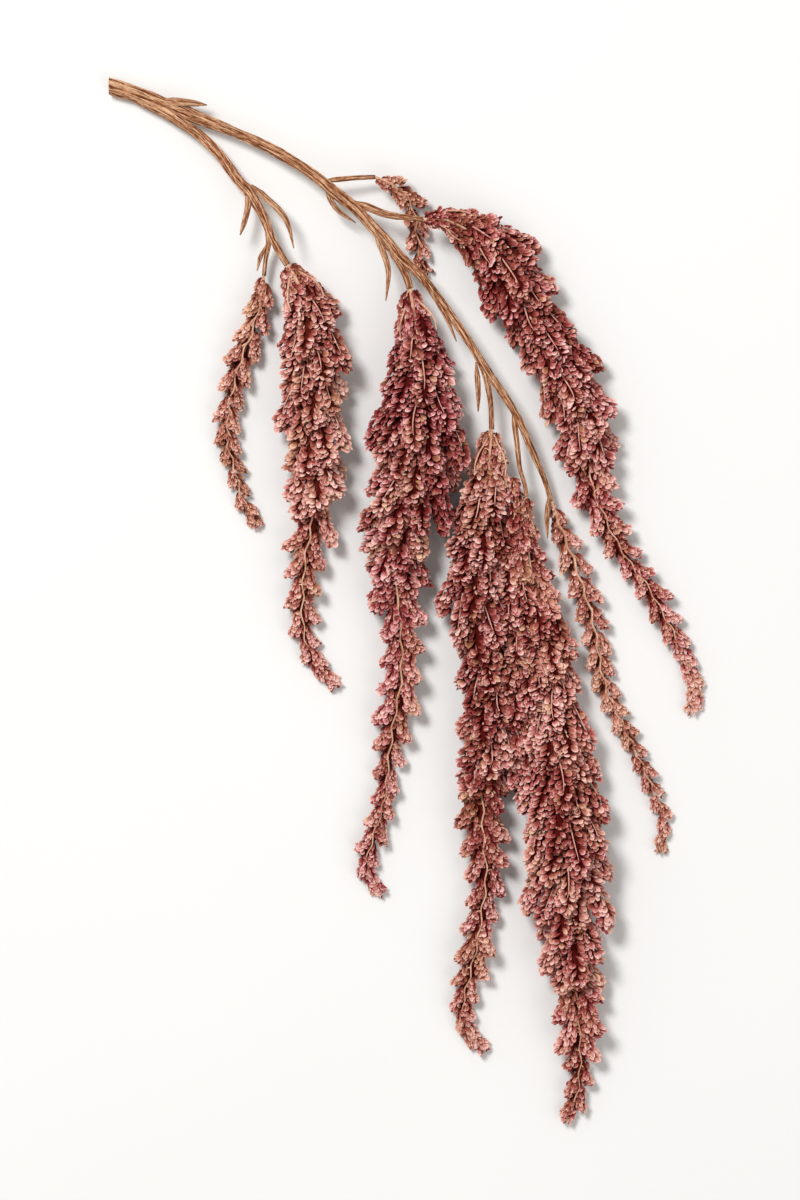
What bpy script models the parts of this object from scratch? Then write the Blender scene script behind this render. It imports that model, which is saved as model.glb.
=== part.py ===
"""A dried, cut stem of trailing amaranth with its eight tassels, laid on a flat surface.

X runs to the right, Y towards the cut end of the stem and Z up from the surface. The origin is
on the surface, under the middle of the whole. Routes and widths are in millimetres.
"""

import math
import random

import bmesh
import bpy
import numpy as np

MM = 0.001
GOLDEN_ANGLE = math.radians(137.5)

# The wood
CUT_END_X = -148.7
RIBS = 6
RIB_DEPTH = 0.13
STALK_SIDES = 8
STUB_SIDES = 6
STUB_FLATNESS = 0.55
JOINT_GAP = 0.3

# How a tassel lies: the height of its axis and its thickness, as shares of half its width
REST_SHARE = 0.72
HEIGHT_SHARE = 0.86
STALK_FADE = 45.0
SETTLE_LENGTH = 12.0

# Its florets, each a low pyramid that leans towards the tip
FLORET_RISE = 1.7
FLORET_LEAN = 1.0
FULL_FLORET_AT = 8.0
SPIRAL_PER_MM = 0.016
FINGER_LEAN = 1.3

# A full tassel and a loose one: the tube they grow from and the side spikes that stand round it
FULL = {
    "columns": 14,
    "row_step": 7.8,
    "core_share": 0.58,
    "finger_half_length": 11.5,
    "finger_half_width": 7.0,
    "finger_area": 330.0,
}
LOOSE = {
    "columns": 8,
    "row_step": 4.6,
    "core_share": 0.34,
    "finger_half_length": 6.5,
    "finger_half_width": 7.0,
    "finger_area": 180.0,
}

# Woody branches: x, y, z and half the thickness at each point
MAIN_STEM = [
    (-156.0, 260.2, 4.5, 4.40),
    (-148.5, 257.8, 4.5, 4.35),
    (-135.3, 253.8, 5.0, 4.15),
    (-122.8, 249.3, 5.9, 4.10),
    (-108.4, 243.6, 7.0, 3.90),
    (-88.6, 235.7, 8.6, 2.95),
    (-68.8, 226.8, 10.6, 2.85),
    (-49.0, 214.9, 13.2, 2.95),
    (-34.3, 203.1, 15.4, 3.15),
    (-24.3, 195.1, 16.6, 3.25),
    (-16.4, 186.3, 17.2, 3.10),
    (-9.5, 179.3, 17.6, 2.95),
    (-2.8, 171.4, 17.8, 2.75),
    (7.3, 162.3, 18.0, 2.55),
    (19.7, 146.0, 18.0, 2.45),
    (31.2, 129.8, 17.8, 2.40),
    (38.8, 117.3, 17.4, 2.25),
    (47.5, 104.8, 16.6, 2.10),
    (56.0, 91.4, 15.2, 2.00),
    (62.4, 77.0, 12.8, 1.85),
    (69.1, 61.7, 9.6, 1.60),
    (73.1, 49.6, 7.6, 1.45),
]
LEFT_BRANCH = [
    (-118.0, 246.0, 6.4, 2.60),
    (-104.4, 233.8, 7.6, 2.95),
    (-94.5, 224.8, 8.6, 2.80),
    (-88.6, 216.9, 9.5, 2.85),
    (-82.6, 209.0, 10.4, 3.00),
    (-78.7, 205.0, 11.0, 3.05),
    (-73.8, 197.1, 11.8, 2.60),
    (-69.8, 189.3, 12.4, 2.30),
    (-66.8, 181.3, 12.8, 2.05),
    (-61.9, 172.4, 13.0, 1.90),
    (-59.0, 167.8, 13.0, 1.80),
]
STALKS = {
    "left_thin_stalk": [
        (-70.4, 187.6, 12.4, 1.5),
        (-68.5, 179.5, 11.6, 1.4),
        (-70.0, 171.0, 9.6, 1.2),
        (-70.9, 162.6, 8.0, 1.1),
    ],
    "upper_short_stalk": [
        (-41.8, 209.6, 14.2, 1.5),
        (-33.8, 210.3, 14.2, 1.4),
        (-24.9, 211.2, 13.0, 1.3),
        (-15.2, 211.8, 11.0, 1.2),
    ],
    "right_stalk": [
        (-25.8, 199.0, 17.0, 2.3),
        (-17.8, 195.6, 19.6, 2.1),
        (-11.5, 192.9, 21.2, 2.0),
        (-4.8, 191.3, 22.4, 1.8),
        (1.9, 190.5, 22.8, 1.5),
        (8.8, 189.8, 22.4, 1.4),
    ],
    "centre_stalk": [
        (-10.3, 178.8, 17.6, 2.2),
        (-3.6, 169.3, 17.4, 2.1),
        (0.0, 162.6, 17.0, 2.0),
        (2.3, 155.6, 16.4, 1.9),
    ],
    "front_left_stalk": [
        (33.8, 125.8, 17.6, 1.8),
        (37.0, 119.4, 17.4, 1.7),
        (40.0, 111.5, 16.8, 1.6),
        (42.5, 98.5, 15.6, 1.5),
        (43.0, 85.4, 14.6, 1.4),
    ],
    "front_right_stalk": [
        (53.6, 95.0, 15.6, 1.6),
        (55.6, 78.4, 15.4, 1.4),
        (57.1, 66.3, 15.0, 1.3),
        (59.4, 58.3, 14.6, 1.2),
        (60.6, 51.9, 14.0, 1.1),
    ],
}

# What is left of the leaf stalks: flattened, pointed and dry
STUBS = {
    "low_on_the_stem": [
        (-122.0, 246.6, 8.6, 1.9),
        (-109.4, 248.0, 10.6, 2.0),
        (-103.0, 248.0, 11.4, 1.3),
        (-99.3, 247.8, 11.6, 0.35),
    ],
    "left_branch_short": [
        (-79.4, 206.4, 11.6, 2.0),
        (-78.8, 197.3, 13.6, 1.7),
        (-80.8, 188.3, 14.6, 1.4),
        (-82.6, 182.5, 15.0, 0.35),
    ],
    "left_branch_long": [
        (-77.2, 208.0, 11.6, 1.8),
        (-69.3, 200.6, 13.2, 1.8),
        (-63.4, 195.0, 14.2, 1.8),
        (-58.9, 188.3, 15.4, 1.5),
        (-55.7, 175.8, 17.4, 0.35),
    ],
    "left_thin_stalk_side": [
        (-69.4, 178.5, 11.8, 1.2),
        (-72.6, 171.6, 12.4, 1.2),
        (-74.2, 164.8, 13.0, 0.3),
    ],
    "under_the_stem": [
        (-40.4, 207.5, 14.2, 1.8),
        (-37.0, 199.4, 13.4, 1.5),
        (-33.0, 194.2, 12.8, 1.3),
        (-24.8, 188.8, 12.4, 0.3),
    ],
    "above_the_centre_tassel": [
        (-15.6, 184.5, 17.6, 1.9),
        (-11.9, 175.3, 19.4, 1.8),
        (-9.2, 167.3, 20.6, 1.6),
        (-8.6, 160.3, 21.2, 1.3),
        (-9.8, 149.2, 21.6, 0.35),
    ],
    "beside_the_centre_tassel": [
        (12.2, 155.6, 18.4, 1.3),
        (17.6, 145.6, 19.6, 1.2),
        (22.2, 136.6, 20.6, 1.0),
        (25.4, 129.0, 21.2, 0.3),
    ],
    "above_the_front_tassels": [
        (35.2, 119.0, 17.4, 1.5),
        (36.2, 104.0, 18.2, 1.4),
        (36.2, 94.2, 18.6, 0.35),
    ],
    "at_the_end_of_the_stem": [
        (71.9, 54.0, 9.0, 1.4),
        (70.6, 41.0, 14.0, 1.4),
        (70.9, 31.0, 15.6, 0.35),
    ],
}

# Tassels: what carries each one, then x, y and half its width from there to its tip
TASSELS = {
    "tassel_left_thin": {
        "carried_by": STALKS["left_thin_stalk"],
        "build": LOOSE,
        "colour": "rose_brown",
        "seed": 11,
        "route": [
            (-72.2, 152.0, 6.4), (-76.9, 134.4, 8.2), (-82.3, 121.0, 8.2), (-85.6, 109.5, 7.6),
            (-88.7, 95.0, 6.6), (-88.7, 78.0, 5.6), (-85.6, 65.5, 5.0), (-82.3, 53.0, 4.2),
            (-77.9, 43.5, 3.2), (-73.6, 37.3, 1.0),
        ],
    },
    "tassel_left": {
        "carried_by": LEFT_BRANCH,
        "build": FULL,
        "colour": "rose_brown",
        "seed": 12,
        "route": [
            (-54.5, 160.0, 9.5), (-49.5, 148.0, 15.0), (-47.0, 137.0, 17.5), (-45.4, 121.0, 19.5),
            (-45.4, 100.0, 17.2), (-45.4, 60.0, 16.3), (-47.0, 37.3, 12.5), (-50.0, 21.9, 10.5),
            (-51.6, -1.0, 8.8), (-50.8, -16.3, 6.5), (-47.0, -27.1, 4.8), (-41.6, -35.5, 3.6),
            (-34.8, -43.6, 1.0),
        ],
    },
    "tassel_centre": {
        "carried_by": STALKS["centre_stalk"],
        "build": FULL,
        "colour": "burgundy",
        "seed": 13,
        "route": [
            (3.4, 147.3, 8.0), (5.6, 135.3, 14.8), (6.6, 118.0, 18.8), (7.3, 95.3, 23.4),
            (5.8, 70.3, 21.6), (1.6, 50.3, 20.8), (-2.6, 35.3, 19.0), (-5.3, 20.3, 17.0),
            (-3.8, 0.3, 13.8), (-1.8, -24.8, 12.0), (-2.8, -44.8, 11.5), (-5.8, -60.0, 10.6),
            (-8.8, -83.8, 6.8), (-9.8, -96.0, 6.2), (-12.3, -106.3, 6.4), (-15.8, -117.3, 7.2),
            (-18.8, -128.3, 5.2), (-18.3, -138.8, 3.8), (-10.8, -146.8, 1.0),
        ],
    },
    "tassel_front_left": {
        "carried_by": STALKS["front_left_stalk"],
        "build": FULL,
        "colour": "rose_brown",
        "seed": 14,
        "route": [
            (42.6, 80.0, 7.0), (41.8, 68.8, 11.4), (40.8, 55.3, 14.4), (38.6, 42.8, 16.8),
            (37.0, 26.8, 17.0), (35.3, 10.3, 18.4), (36.6, -4.8, 17.8), (40.8, -24.8, 15.6),
            (41.0, -49.8, 16.0), (40.6, -74.8, 16.2), (38.8, -94.8, 14.0), (38.8, -114.8, 12.8),
            (40.3, -137.8, 10.4), (38.3, -155.8, 8.6), (37.0, -165.0, 10.4), (33.5, -182.3, 9.2),
            (29.0, -201.3, 6.0), (29.8, -208.8, 4.6), (31.8, -216.8, 4.0), (39.8, -226.3, 1.0),
        ],
    },
    "tassel_front_right": {
        "carried_by": STALKS["front_right_stalk"],
        "build": FULL,
        "colour": "rose_brown",
        "seed": 15,
        "route": [
            (59.4, 45.3, 3.4), (60.2, 35.3, 5.9), (61.4, 27.8, 7.6), (62.4, 17.8, 8.9),
            (66.4, 4.3, 12.0), (70.4, -14.8, 14.4), (72.0, -31.3, 15.2), (73.3, -44.8, 16.0),
            (75.2, -56.3, 17.6), (76.0, -74.8, 18.6), (78.0, -94.8, 21.4), (80.5, -123.8, 22.6),
            (82.0, -144.8, 20.2), (81.3, -157.3, 17.6), (82.8, -174.8, 17.4), (84.8, -192.3, 13.4),
            (86.3, -202.3, 14.0), (87.0, -216.8, 13.4), (87.6, -228.3, 8.6), (86.3, -245.8, 6.6),
            (83.8, -254.8, 5.0), (80.8, -261.5, 1.0),
        ],
    },
    "tassel_right_thin": {
        "carried_by": MAIN_STEM,
        "build": LOOSE,
        "colour": "rose_brown",
        "seed": 16,
        "route": [
            (78.0, 36.0, 6.0), (82.3, 25.3, 7.6), (86.2, 14.3, 7.8), (91.2, -0.3, 7.4),
            (94.4, -12.3, 6.8), (97.2, -29.3, 6.4), (99.8, -41.6, 6.0), (103.5, -51.3, 5.6),
            (109.5, -63.3, 5.0), (119.3, -83.8, 4.6), (124.0, -94.8, 4.4), (128.3, -104.8, 3.8),
            (130.0, -111.8, 2.8), (128.8, -119.3, 2.0), (127.8, -126.3, 0.8),
        ],
    },
    "tassel_right": {
        "carried_by": STALKS["right_stalk"],
        "build": FULL,
        "colour": "rose",
        "seed": 17,
        "route": [
            (16.2, 189.8, 4.6), (21.6, 189.0, 8.6), (31.2, 184.3, 13.0), (40.8, 177.5, 17.0),
            (48.3, 168.9, 19.6), (55.1, 159.4, 18.4), (60.8, 148.8, 17.0), (65.6, 139.3, 16.2),
            (71.3, 128.8, 16.5), (76.1, 119.3, 17.0), (81.8, 108.8, 17.0), (86.7, 97.3, 17.0),
            (90.3, 84.8, 16.8), (92.0, 68.0, 13.6), (94.0, 54.3, 12.3), (98.6, 44.5, 11.3),
            (104.0, 32.4, 9.5), (110.8, 21.5, 7.2), (116.8, 13.0, 6.8), (122.8, 5.0, 8.2),
            (128.3, -5.3, 7.0), (133.8, -14.8, 6.0), (138.6, -24.8, 4.6), (142.8, -34.3, 4.0),
            (145.0, -42.8, 3.5), (145.0, -50.0, 2.8), (141.7, -55.8, 0.9),
        ],
    },
    "tassel_upper_short": {
        "carried_by": STALKS["upper_short_stalk"],
        "build": LOOSE,
        "colour": "rose",
        "seed": 18,
        "route": [
            (-7.6, 208.4, 5.4), (-2.2, 205.0, 6.2), (1.9, 200.3, 6.2), (4.2, 194.9, 5.8),
            (5.5, 188.3, 5.6), (5.9, 182.9, 5.3), (6.8, 176.3, 5.0), (8.4, 169.5, 4.4),
            (11.3, 164.6, 1.3),
        ],
    },
}

COLOURS = {
    "wood": (0.43, 0.22, 0.13),
    "rose_brown": (0.30, 0.11, 0.09),
    "burgundy": (0.25, 0.07, 0.07),
    "rose": (0.28, 0.09, 0.08),
}
ROUGHNESS = {"wood": 0.7, "rose_brown": 0.9, "burgundy": 0.9, "rose": 0.9}


def clear_scene():
    for obj in list(bpy.data.objects):
        bpy.data.objects.remove(obj, do_unlink=True)


def new_collection(name):
    collection = bpy.data.collections.new(name)
    bpy.context.scene.collection.children.link(collection)
    return collection


def new_material(name):
    material = bpy.data.materials.new(name)
    material.use_nodes = True
    shader = material.node_tree.nodes["Principled BSDF"]
    shader.inputs["Base Color"].default_value = (*COLOURS[name], 1.0)
    shader.inputs["Roughness"].default_value = ROUGHNESS[name]
    shader.inputs["Metallic"].default_value = 0.0
    return material


def outline_curve(name, points, collection):
    """A closed outline of unit size, for a branch to carry along its length."""
    data = bpy.data.curves.new(name, "CURVE")
    spline = data.splines.new("POLY")
    spline.points.add(len(points) - 1)
    for point, (x, y) in zip(spline.points, points):
        point.co = (x * MM, y * MM, 0.0, 1.0)
    spline.use_cyclic_u = True
    outline = bpy.data.objects.new(name, data)
    collection.objects.link(outline)
    return outline


def ribbed_points():
    """A circle whose every second point is sunk, which makes the stem's ribs."""
    points = []
    for i in range(2 * RIBS):
        angle = math.pi * i / RIBS
        radius = 1.0 - (RIB_DEPTH if i % 2 else 0.0)
        points.append((radius * math.cos(angle), radius * math.sin(angle)))
    return points


def oval_points(sides, flatness):
    points = []
    for i in range(sides):
        angle = 2 * math.pi * (i + 0.5) / sides
        points.append((math.cos(angle), flatness * math.sin(angle)))
    return points


def make_branch(name, route, outline, collection):
    """A curve through the route, as thick as the route says, turned into a closed mesh."""
    data = bpy.data.curves.new(name, "CURVE")
    data.dimensions = "3D"
    data.bevel_mode = "OBJECT"
    data.bevel_object = outline
    data.use_fill_caps = True
    data.twist_mode = "Z_UP"
    spline = data.splines.new("POLY")
    spline.points.add(len(route) - 1)
    for point, (x, y, z, half_thickness) in zip(spline.points, route):
        point.co = (x * MM, y * MM, z * MM, 1.0)
        point.radius = half_thickness
    curve = bpy.data.objects.new(name, data)
    collection.objects.link(curve)
    graph = bpy.context.evaluated_depsgraph_get()
    mesh = bpy.data.meshes.new_from_object(curve.evaluated_get(graph))
    bpy.data.objects.remove(curve, do_unlink=True)
    shape = bmesh.new()
    shape.from_mesh(mesh)
    bmesh.ops.remove_doubles(shape, verts=shape.verts, dist=1e-6)
    bmesh.ops.recalc_face_normals(shape, faces=shape.faces)
    shape.to_mesh(mesh)
    shape.free()
    obj = bpy.data.objects.new(name, mesh)
    collection.objects.link(obj)
    return obj


def apply_modifier(obj, modifier):
    bpy.context.view_layer.objects.active = obj
    bpy.ops.object.modifier_apply(modifier=modifier.name)


def join_all(obj, others):
    """Joins a collection's objects to this one and removes them."""
    modifier = obj.modifiers.new("join", "BOOLEAN")
    modifier.operation = "UNION"
    modifier.solver = "MANIFOLD"
    modifier.operand_type = "COLLECTION"
    modifier.collection = others
    apply_modifier(obj, modifier)
    for other in list(others.objects):
        bpy.data.objects.remove(other, do_unlink=True)
    bpy.data.collections.remove(others)


def cut_away(obj, cutter):
    modifier = obj.modifiers.new("cut", "BOOLEAN")
    modifier.operation = "DIFFERENCE"
    modifier.solver = "MANIFOLD"
    modifier.object = cutter
    apply_modifier(obj, modifier)


def make_cutter(name, low, high, collection):
    """A block that fills the space between two corners."""
    size = np.subtract(high, low) * MM
    shape = bmesh.new()
    bmesh.ops.create_cube(shape, size=1.0)
    bmesh.ops.scale(shape, vec=size, verts=shape.verts)
    bmesh.ops.translate(shape, vec=np.add(low, high) / 2 * MM, verts=shape.verts)
    mesh = bpy.data.meshes.new(name)
    shape.to_mesh(mesh)
    shape.free()
    cutter = bpy.data.objects.new(name, mesh)
    cutter.hide_render = True
    cutter.display_type = "WIRE"
    collection.objects.link(cutter)
    return cutter


def make_stem(parts, helpers):
    """The main stem, its left branch, the stalks and the leaf stubs, joined as one piece."""
    ribbed = outline_curve("ribbed_outline", ribbed_points(), helpers)
    rounded = outline_curve("stalk_outline", oval_points(STALK_SIDES, 1.0), helpers)
    flattened = outline_curve("stub_outline", oval_points(STUB_SIDES, STUB_FLATNESS), helpers)
    branches = new_collection("branches")
    stem = make_branch("stem", MAIN_STEM, ribbed, parts)
    make_branch("left_branch", LEFT_BRANCH, ribbed, branches)
    for name, route in STALKS.items():
        make_branch(name, route, rounded, branches)
    for name, route in STUBS.items():
        make_branch(name, route, flattened, branches)
    join_all(stem, branches)
    for outline in (ribbed, rounded, flattened):
        bpy.data.objects.remove(outline, do_unlink=True)
    low = (CUT_END_X - 40, 230, -20)
    high = (CUT_END_X, 290, 40)
    cut_away(stem, make_cutter("stem_end", low, high, helpers))
    stem.data.materials.clear()
    stem.data.materials.append(new_material("wood"))


def even_rows(points, step):
    """Rows of x, y and half width at an even step along a smooth curve through the points."""
    points = np.array(points)
    padded = np.vstack([2 * points[0] - points[1], points, 2 * points[-1] - points[-2]])
    fine = []
    for before, here, there, after in zip(padded, padded[1:], padded[2:], padded[3:]):
        for t in np.arange(0.0, 1.0, 1 / 12):
            fine.append(here + 0.5 * (
                (there - before) * t
                + (2 * before - 5 * here + 4 * there - after) * t**2
                + (3 * here - before - 3 * there + after) * t**3
            ))
    fine = np.array(fine + [points[-1]])
    strides = np.linalg.norm(np.diff(fine[:, :2], axis=0), axis=1)
    distance = np.concatenate([[0.0], np.cumsum(strides)])
    count = round(distance[-1] / step)
    along = np.linspace(0.0, distance[-1], count + 1)
    return along, np.column_stack([np.interp(along, distance, column) for column in fine.T])


class Axis:
    """The line down the middle of a tassel, from its stalk to its tip, at rest on the surface."""

    def __init__(self, tassel):
        before, end = (np.array(point) for point in tassel["carried_by"][-2:])
        onward = (end - before)[:3] / np.linalg.norm((end - before)[:3])
        start = end[:3] + onward * JOINT_GAP
        route = [(start[0], start[1], end[3])] + tassel["route"]
        step = tassel["build"]["row_step"]
        self.along, rows = even_rows(route, step)
        self.length = self.along[-1]
        self.half_width = np.maximum(rows[:, 2], 0.6)
        reach = round(SETTLE_LENGTH / step / 2)
        around = np.pad(self.half_width, reach, mode="edge")
        settled = np.convolve(around, np.full(2 * reach + 1, 1 / (2 * reach + 1)), mode="valid")
        rest = REST_SHARE * np.maximum(settled, self.half_width)
        fade = np.clip(1.0 - self.along / STALK_FADE, 0.0, 1.0)
        fade = fade * fade * (3.0 - 2.0 * fade)
        height = rest * (1.0 - fade) + start[2] * fade
        self.middle = np.column_stack([rows[:, :2], height])
        tangent = np.gradient(self.middle, axis=0)
        self.tangent = tangent / np.linalg.norm(tangent, axis=1)[:, None]
        side = np.cross((0.0, 0.0, 1.0), self.tangent)
        self.side = side / np.linalg.norm(side, axis=1)[:, None]
        self.upward = np.cross(self.tangent, self.side)

    def half_width_at(self, at):
        return float(np.interp(at, self.along, self.half_width))

    def place(self, at, turn, out, forward):
        """The point this far along, turned round the axis, out from it and on towards the tip."""
        middle, tangent, side, upward = (
            np.array([np.interp(at, self.along, column) for column in values.T])
            for values in (self.middle, self.tangent, self.side, self.upward)
        )
        across = side * math.cos(turn) + upward * math.sin(turn) * HEIGHT_SHARE
        return middle + across * out + tangent * forward


def finger_places(axis, build, seed):
    """Where each side spike stands: how far along, how far round, and its share of the reach."""
    draw = random.Random(seed)
    at = 4.0
    turn = draw.uniform(0.0, 2 * math.pi)
    places = []
    while at < axis.length - 3.0:
        places.append((at, turn % (2 * math.pi), draw.uniform(0.75, 1.1)))
        half_width = axis.half_width_at(at)
        area = build["finger_area"] * min(1.0, 0.45 + half_width / 30.0)
        at += area / (2 * math.pi * max(half_width, 4.0))
        turn += GOLDEN_ANGLE
    return np.array(places).T


def lobe_at(at, turn, half_width, fingers, build):
    """How far the side spikes draw the surface out here, from 0 between them to 1 at a crest."""
    finger_at, finger_turn, finger_reach = fingers
    away = (at - finger_at) / build["finger_half_length"]
    angle = (turn - finger_turn + math.pi) % (2 * math.pi) - math.pi
    round_it = angle * half_width * 0.8 / min(build["finger_half_width"], half_width)
    return float((finger_reach * np.clip(1.0 - away**2 - round_it**2, 0.0, 1.0)).max())


def make_tassel(name, tassel, parts):
    """A tube along the axis, drawn out into side spikes, with a floret raised on every face."""
    build = tassel["build"]
    axis = Axis(tassel)
    fingers = finger_places(axis, build, tassel["seed"])
    draw = random.Random(tassel["seed"] + 100)
    shape = bmesh.new()
    bmesh.ops.create_cone(
        shape, cap_ends=True, segments=build["columns"], radius1=1.0, radius2=1.0, depth=1.0
    )
    lengthwise = [e for e in shape.edges if abs(e.verts[0].co.z - e.verts[1].co.z) > 0.5]
    rows = len(axis.along) - 1
    bmesh.ops.subdivide_edges(shape, edges=lengthwise, cuts=rows - 1, use_grid_fill=True)
    wall = [f for f in shape.faces if abs(f.normal.z) < 0.5]
    floret_tips = set(bmesh.ops.poke(shape, faces=wall)["verts"])
    for vertex in shape.verts:
        share = min(max(vertex.co.z + 0.5, 0.0), 1.0)
        at = share * axis.length
        turn = math.atan2(vertex.co.y, vertex.co.x) + at * SPIRAL_PER_MM
        half_width = axis.half_width_at(at)
        rise = lobe_at(at, turn, half_width, fingers, build)
        rise *= (1.0 - build["core_share"]) * half_width
        forward = FINGER_LEAN * rise
        if vertex in floret_tips:
            floret = min(1.0, half_width / FULL_FLORET_AT)
            rise += FLORET_RISE * floret * draw.uniform(0.6, 1.2)
            forward += FLORET_LEAN * floret * draw.uniform(0.6, 1.2)
        flat_end = min(1.0, at / 3.0, (axis.length - at) / 6.0)
        core = build["core_share"] * half_width
        point = axis.place(at, turn, core + rise * flat_end, forward * flat_end)
        vertex.co = point * MM
    mesh = bpy.data.meshes.new(name)
    shape.to_mesh(mesh)
    shape.free()
    obj = bpy.data.objects.new(name, mesh)
    parts.objects.link(obj)
    return obj


def main():
    clear_scene()
    parts = new_collection("amaranth_tassel")
    helpers = new_collection("helpers")
    helpers.hide_render = True
    make_stem(parts, helpers)
    surface = make_cutter("surface", (-200, -300, -60), (200, 300, 0), helpers)
    materials = {}
    for name, tassel in TASSELS.items():
        obj = make_tassel(name, tassel, parts)
        cut_away(obj, surface)
        colour = tassel["colour"]
        if colour not in materials:
            materials[colour] = new_material(colour)
        obj.data.materials.clear()
        obj.data.materials.append(materials[colour])


main()
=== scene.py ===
"""A dried, cut stem of trailing amaranth with its eight tassels, laid flat on a pale surface.

X runs to the right, Y towards the cut end of the stem and Z up from the surface. Routes and
widths are in millimetres, and MM makes them metres where a mesh is written.
"""

import math
import random

import bpy
import numpy as np
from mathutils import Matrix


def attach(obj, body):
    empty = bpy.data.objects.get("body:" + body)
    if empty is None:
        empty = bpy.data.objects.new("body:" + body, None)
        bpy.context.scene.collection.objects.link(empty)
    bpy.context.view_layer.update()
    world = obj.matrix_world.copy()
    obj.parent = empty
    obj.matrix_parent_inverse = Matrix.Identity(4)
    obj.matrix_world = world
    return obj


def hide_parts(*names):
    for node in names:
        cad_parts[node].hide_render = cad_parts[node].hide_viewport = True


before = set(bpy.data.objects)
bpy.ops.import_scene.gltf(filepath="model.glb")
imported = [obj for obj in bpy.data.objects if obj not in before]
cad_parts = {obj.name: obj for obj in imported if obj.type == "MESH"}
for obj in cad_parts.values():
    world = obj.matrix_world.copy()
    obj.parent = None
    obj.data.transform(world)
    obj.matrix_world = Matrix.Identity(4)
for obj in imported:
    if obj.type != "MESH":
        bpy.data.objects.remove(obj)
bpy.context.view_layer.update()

# The surface, the light and the camera. A plain pale board lies under soft studio light that
# comes mostly from the upper left, and the camera looks straight down on it.
BOARD_SIZE = 16.0
BOARD_DROP = 0.0004
CAMERA_HEIGHT = 2.5
PICTURE_LONG_SIDE = 0.600
SENSOR = 36.0

bpy.ops.object.select_all(action="DESELECT")
bpy.ops.mesh.primitive_plane_add(size=BOARD_SIZE, location=(0.0, 0.0, -BOARD_DROP))
board = bpy.context.object
board.name = "board"


def node(tree, kind, inputs=None, **settings):
    """A node with its settings and inputs. An input that is a socket is linked, others are set."""
    made = tree.nodes.new("ShaderNode" + kind)
    for key, value in settings.items():
        setattr(made, key, value)
    for key, value in (inputs or {}).items():
        if isinstance(value, bpy.types.NodeSocket):
            tree.links.new(value, made.inputs[key])
        else:
            made.inputs[key].default_value = value
    return made


def ramp(tree, factor, stops):
    """A colour ramp with a stop for each place and linear colour."""
    made = node(tree, "ValToRGB", {0: factor})
    elements = made.color_ramp.elements
    while len(elements) < len(stops):
        elements.new(0.5)
    for element, (place, colour) in zip(elements, stops):
        element.position = place
        element.color = (*colour, 1.0)
    return made.outputs[0]


def noise(tree, vector, scale, detail):
    """A cloudy number between 0 and 1."""
    return node(tree, "TexNoise", {"Vector": vector, "Scale": scale, "Detail": detail}).outputs[0]


def new_material(name):
    """A material, its nodes and its shader."""
    material = bpy.data.materials.new(name)
    material.use_nodes = True
    tree = material.node_tree
    return material, tree, tree.nodes["Principled BSDF"]


def pale_board():
    material, tree, shader = new_material("pale_board")
    place = node(tree, "TexCoord").outputs["Object"]
    cloud = noise(tree, place, 3.0, 2.0)
    tint = ramp(tree, cloud, [(0.0, (0.80, 0.80, 0.79)), (1.0, (0.84, 0.84, 0.83))])
    tree.links.new(tint, shader.inputs["Base Color"])
    shader.inputs["Roughness"].default_value = 0.8
    shader.inputs["Specular IOR Level"].default_value = 0.2
    return material


board.data.materials.append(pale_board())


def soft_light(name, place, size, watts):
    """A square lamp that shines at the middle of the tassel."""
    bpy.ops.object.light_add(type="AREA", location=place)
    lamp = bpy.context.object
    lamp.name = name
    lamp.data.size = size
    lamp.data.energy = watts
    lamp.rotation_mode = "QUATERNION"
    lamp.rotation_quaternion = lamp.location.to_track_quat("Z", "Y")


soft_light("key_light", (-1.0, 1.15, 2.5), 0.8, 66.0)
soft_light("fill_light", (1.6, -1.4, 1.8), 2.0, 18.0)
sky = bpy.data.worlds.new("studio")
bpy.context.scene.world = sky
sky.use_nodes = True
sky.node_tree.nodes["Background"].inputs["Color"].default_value = (1.0, 0.97, 0.94, 1.0)
sky.node_tree.nodes["Background"].inputs["Strength"].default_value = 0.45
bpy.context.scene.view_settings.view_transform = "Standard"

bpy.ops.object.camera_add(location=(-0.00275, 0.00025, CAMERA_HEIGHT), rotation=(0.0, 0.0, 0.0))
camera = bpy.context.object
camera.name = "camera_above"
camera.data.sensor_width = SENSOR
camera.data.lens = SENSOR * (CAMERA_HEIGHT - 0.012) / PICTURE_LONG_SIDE
camera.data.clip_end = 50.0
bpy.context.scene.camera = camera

# The wood: one dry, ribbed main stem, its left branch, and the stalks that carry the tassels.
# They grew as one piece. The bark has shrunk into long fibrous strands with grooves between
# them, darkened by painted shade, and the thick end is cut straight across.
MM = 0.001
CUT_END_X = -148.7
WOOD_STEP = 1.5
BARK_TWIST = 0.012
SUNK_LENGTH = 7.0
FIBRE_STRETCH = 0.09
PITH_SHARE = 0.62
PITH_COLOUR = (0.62, 0.45, 0.29, 1.0)
MAIN_STEM = [
    (-148.7, 257.9, 4.5, 4.35), (-135.3, 253.8, 5.0, 4.15), (-122.8, 249.3, 5.9, 4.10),
    (-108.4, 243.6, 7.0, 3.90), (-88.6, 235.7, 8.6, 2.95), (-68.8, 226.8, 10.6, 2.85),
    (-49.0, 214.9, 13.2, 2.95), (-34.3, 203.1, 15.4, 3.15), (-24.3, 195.1, 16.6, 3.25),
    (-16.4, 186.3, 17.2, 3.10), (-9.5, 179.3, 17.6, 2.95), (-2.8, 171.4, 17.8, 2.75),
    (7.3, 162.3, 18.0, 2.55), (19.7, 146.0, 18.0, 2.45), (31.2, 129.8, 17.8, 2.40),
    (38.8, 117.3, 17.4, 2.25), (47.5, 104.8, 16.6, 2.10), (56.0, 91.4, 15.2, 2.00),
    (62.4, 77.0, 12.8, 1.85), (69.1, 61.7, 9.6, 1.60), (73.1, 49.6, 7.6, 1.45),
]
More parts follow.
